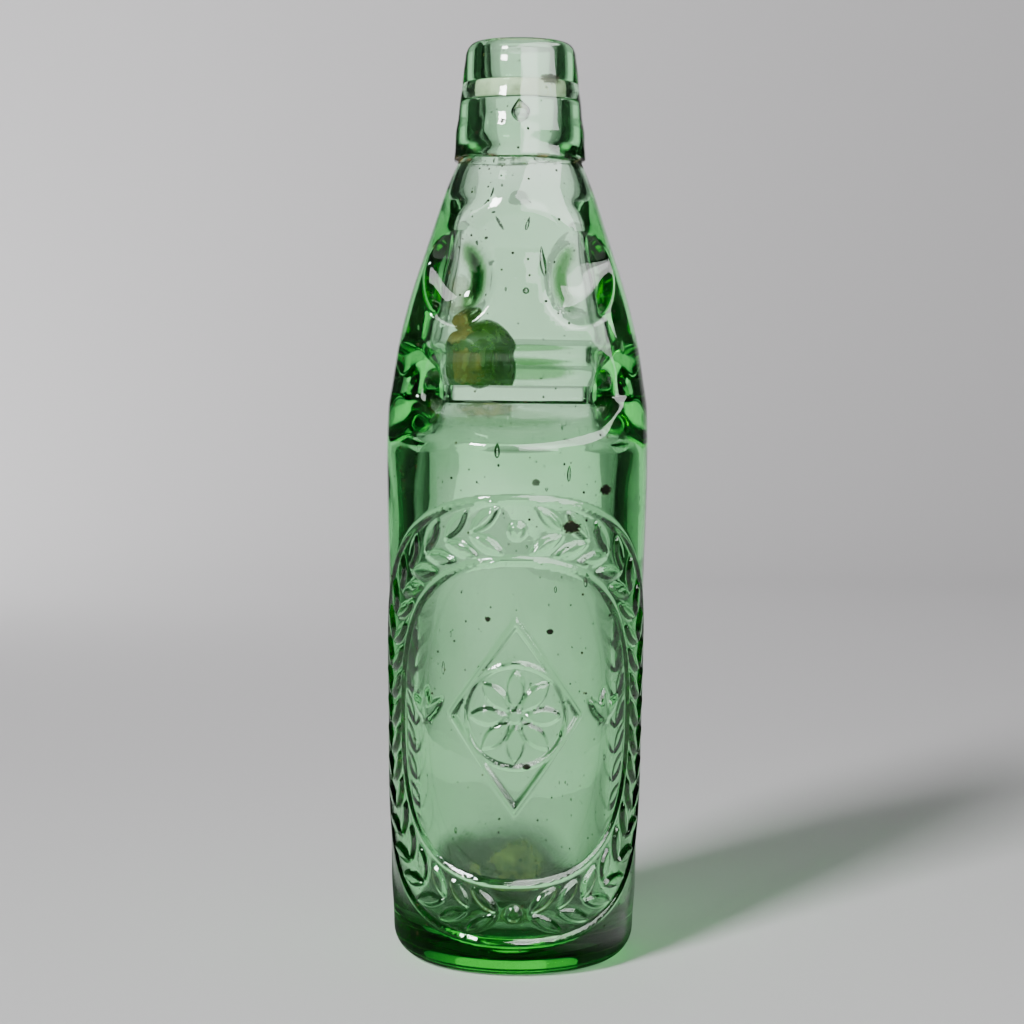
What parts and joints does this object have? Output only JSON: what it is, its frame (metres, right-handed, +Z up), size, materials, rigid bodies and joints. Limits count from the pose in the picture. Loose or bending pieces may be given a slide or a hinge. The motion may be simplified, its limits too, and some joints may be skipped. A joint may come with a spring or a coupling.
{
  "type": "marble stopper bottle",
  "caption": "Pale green glass soda bottle with a pinched neck, two lugs, an applied lip with a rubber ring, and a loose glass marble that seals it.",
  "frame": {"origin": "middle of the foot, on the surface that the bottle stands on", "axes": "+Z up along the bottle towards the mouth, -Y the front with the two lugs, +X to the right seen from the front"},
  "size_m": [0.0652, 0.0654, 0.227],
  "materials": {
    "bottle_glass": "clear blue-green glass with seeds, small chips and light stains",
    "lip_glass": "clear blue-green glass, smoothed by the lip tool",
    "ring_rubber": "aged pale rubber, matt",
    "marble_glass": "green glass with brown stains"
  },
  "bodies": {
    "bottle": {"glass_body": "bottle_glass", "applied_lip": "lip_glass", "sealing_ring": "ring_rubber"},
    "marble": {"marble": "marble_glass"}
  },
  "joints": [
    {"name": "marble_travel", "type": "slide", "parent": "bottle", "child": "marble", "axis": [0.1687, 0, 0.9857], "range_m": [0, 0.05751]}
  ]
}
